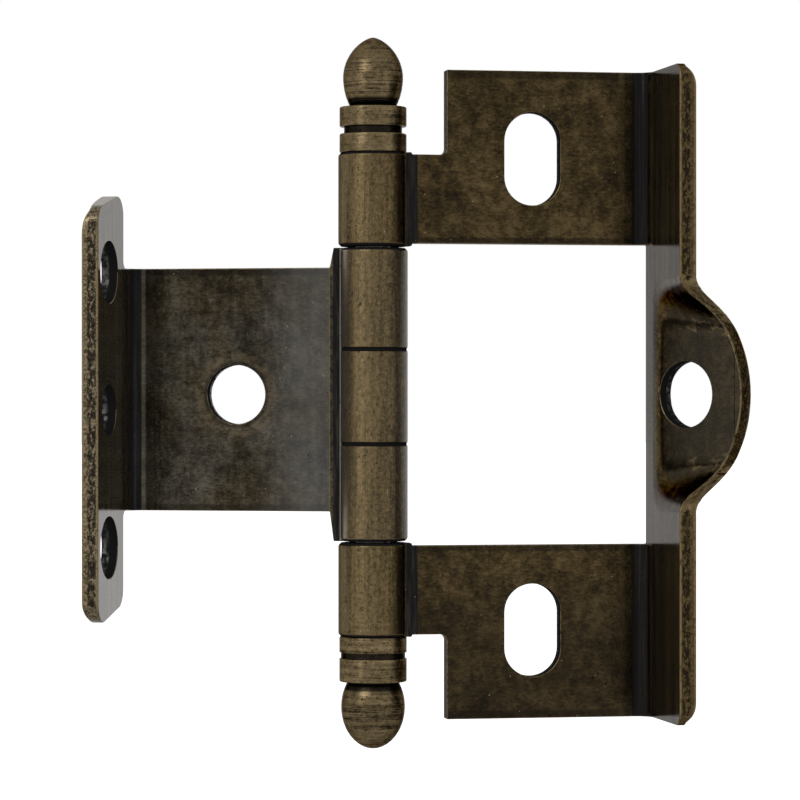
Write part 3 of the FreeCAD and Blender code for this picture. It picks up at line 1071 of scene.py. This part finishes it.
@dataclass
class Pin:
    """The CAD pin, which stays as it is and only gets its finish."""

    node: str = "hinge_pin"
    finish: PinFinish = PinFinish()

    def dress(self) -> None:
        """Puts the steel on the pin."""
        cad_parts[self.node].material_slots[0].material = self.finish.material()
        log.info("%s: dressed", self.node)


@dataclass
class Lamp:
    """A soft box: an area lamp that faces the hinge, placed and sized in metres, its power in watts."""

    name: str
    place: Place
    size: Span
    power: float

    def build(self) -> None:
        """Hangs the lamp."""
        light = bpy.data.lights.new(self.name, "AREA")
        light.shape = "RECTANGLE"
        light.size, light.size_y = self.size
        light.energy = self.power
        lamp = bpy.data.objects.new(self.name, light)
        lamp.location = self.place
        lamp.rotation_euler = (-Vector(self.place)).to_track_quat("-Z", "Y").to_euler()
        bpy.context.scene.collection.objects.link(lamp)


@dataclass
class Studio:
    """Floor, white surroundings, soft boxes and the camera.

    The focal length and the width are in pixels of the picture, the sensor's width is in millimetres.
    """

    floor_height: float = -75.0
    floor_half: float = 6000.0
    camera_place: Place = (-59.9, -336.7, -0.5)
    camera_heading: float = -10.5
    focal_pixels: float = 3745.0
    image_width: float = 800.0
    sensor: float = 36.0
    room_level: float = 0.55
    floor_glow: Span = (0.30, 0.80)
    glow_reach: Span = (120.0, 330.0)
    clip: Span = (0.01, 50.0)
    lamps: tuple[Lamp, ...] = (
        Lamp("key_box", (-0.45, -0.45, 0.40), (0.35, 0.35), 1.5),
        Lamp("strip_box", (-0.45, -0.32, 0.0), (0.07, 0.50), 0.30),
        Lamp("fill_box", (0.50, -0.50, 0.15), (0.40, 0.40), 0.2))

    def seen(self, shader: Shader) -> Signal:
        """1 for rays that come from the eye, straight or by way of metal or glass.

        Args:
            shader: Shader that is being built.

        Returns:
            The largest of the three kinds of ray.
        """
        rays = [shader.node("LightPath", output=name)
                for name in ("Is Camera Ray", "Is Glossy Ray", "Is Transmission Ray")]
        return rays[0].larger(rays[1]).larger(rays[2])

    def build_floor(self) -> None:
        """Lays a plain pale floor, a grid of two by two points, below the hinge.

        The floor glows a little more the further it lies from the hinge, so that it ends in white. Only
        what the eye sees glows, so that no light is added to the hinge.
        """
        s = Shader(bpy.data.materials.new("pale_floor"))
        paper = s.noise(0.05, 3, 0.5)
        colour = s.mix(paper, (0.80, 0.80, 0.80), (0.82, 0.82, 0.82))
        diffuse = s.node("BsdfDiffuse", None, {"Color": colour})
        near_glow, far_glow = self.floor_glow
        level = s.from_pin().ramp(*self.glow_reach) * (far_glow - near_glow) + near_glow
        glow = s.node("Emission", None, {
            "Color": (1, 1, 1, 1), "Strength": self.seen(s) * level})
        both = s.node("AddShader", None, {0: diffuse, 1: glow})
        s.node("OutputMaterial", None, {"Surface": both})
        across, along = np.meshgrid([-1, 1], [-1, 1])
        grid = np.column_stack([across.ravel() * self.floor_half, along.ravel() * self.floor_half,
                                np.full(4, self.floor_height)]) * MM
        mesh = bpy.data.meshes.new("floor")
        mesh.from_pydata(grid, [], [(0, 1, 3, 2)])
        mesh_piece("floor", mesh, s.owner)

    def build_room(self) -> None:
        """Surrounds the hinge with plain white, softer as a light than as a background."""
        world = bpy.data.worlds.new("room")
        bpy.context.scene.world = world
        s = Shader(world)
        seen = self.seen(s)
        white = s.node("Background", None, {
            "Color": (1, 1, 1, 1), "Strength": seen * (1 - self.room_level) + self.room_level})
        s.node("OutputWorld", None, {"Surface": white})

    def build_camera(self) -> None:
        """Puts the camera at the photograph's angle, level and a little to the left."""
        lens = bpy.data.cameras.new("camera")
        lens.sensor_width = self.sensor
        lens.lens = self.focal_pixels * self.sensor / self.image_width
        lens.clip_start, lens.clip_end = self.clip
        camera = bpy.data.objects.new("camera", lens)
        camera.location = Vector(self.camera_place) * MM
        camera.rotation_euler = (math.radians(90), 0, math.radians(self.camera_heading))
        bpy.context.scene.collection.objects.link(camera)
        bpy.context.scene.camera = camera

    def build(self) -> None:
        """Sets up the whole studio."""
        self.build_floor()
        self.build_room()
        self.build_camera()
        for lamp in self.lamps:
            lamp.build()
        bpy.context.scene.view_settings.view_transform = "Standard"
        log.info("studio: floor, room, camera and lamps")


def main() -> None:
    """Builds the hinge piece by piece, then the studio."""
    logging.basicConfig(level=logging.INFO, format="%(name)s: %(message)s")
    SheetLeaf("door_leaf", "door", LeafFinish(
        "door_leaf_brass", offset=11.0, direction=(-0.92718, 0.37461, 0), flange_reach=22.225,
        shaded_bend=(21.4, 22.1), highlit_bend=(20.3, 21.2), warmth=0.25, streaks=0.35,
        outline_middle=0.45, outlines=((10.6, 11.2),), grazing=(1.0, 1.0, 1.0),
        rim_gold=(0.160, 0.128, 0.080), pale_reflection_share=0.85, sheen=0.40, lower_shade=0.0,
        washer_marks=((-11.93, 3.44, 0.0),),
        rubbed=(0.070, 0.0625, 0.047), patina=(0.037, 0.0285, 0.0165), joggle_shade_reach=3.50),
        outer_reach=23.775, near_edge=13.2, corner_heights=(16.63, -20.87), corner_fade=(8.0, 2.4),
        corner_roll=1.2, corner_slope=0.2126).build()
    SheetLeaf("frame_leaf", "frame", LeafFinish(
        "frame_leaf_brass", offset=47.0, direction=(1, 0, 0), flange_reach=25.4,
        shaded_bend=(23.9, 25.1), highlit_bend=(22.7, 23.0), warmth=1.0, streaks=0.0,
        outline_middle=0.0, outlines=((13.7, 14.2), (29.0, 29.7)), grazing=(0.34, 0.34, 0.35),
        rim_gold=(0.083, 0.0585, 0.0270), pale_reflection_share=0.12, sheen=0.0, lower_shade=0.52),
        outer_reach=26.95, near_edge=13.2, corner_heights=(29.6, -29.6), corner_fade=(6.5, 2.1),
        corner_roll=1.8, corner_slope=0.0).build()
    Pin().dress()
    TurnedTip(
        "top_tip", "top_finial", TipFinish("top_tip_brass", 3.4, 0.35), Point.UP,
        collar_radius=3.06, low_collar=1.74, groove_radius=2.65, groove=0.62, high_collar=1.83,
        neck_radius=2.15, neck=0.12, ball_radius=2.74, ball_low=2.54, ball_high=3.70, ball_power=0.65,
        ring_seed=5, ring_count=16, ring_zone=(0.05, 0.60)).build()
    TurnedTip(
        "bottom_tip", "bottom_finial", TipFinish("bottom_tip_brass", 2.4, 0.70), Point.DOWN,
        collar_radius=3.08, low_collar=1.46, groove_radius=2.94, groove=0.55, high_collar=2.13,
        neck_radius=2.40, neck=0.12, ball_radius=2.92, ball_low=2.20, ball_high=3.80, ball_power=0.52,
        ring_seed=8, ring_count=22, ring_zone=(0.25, 0.90)).build()
    Studio().build()


if __name__ == "__main__":
    main()
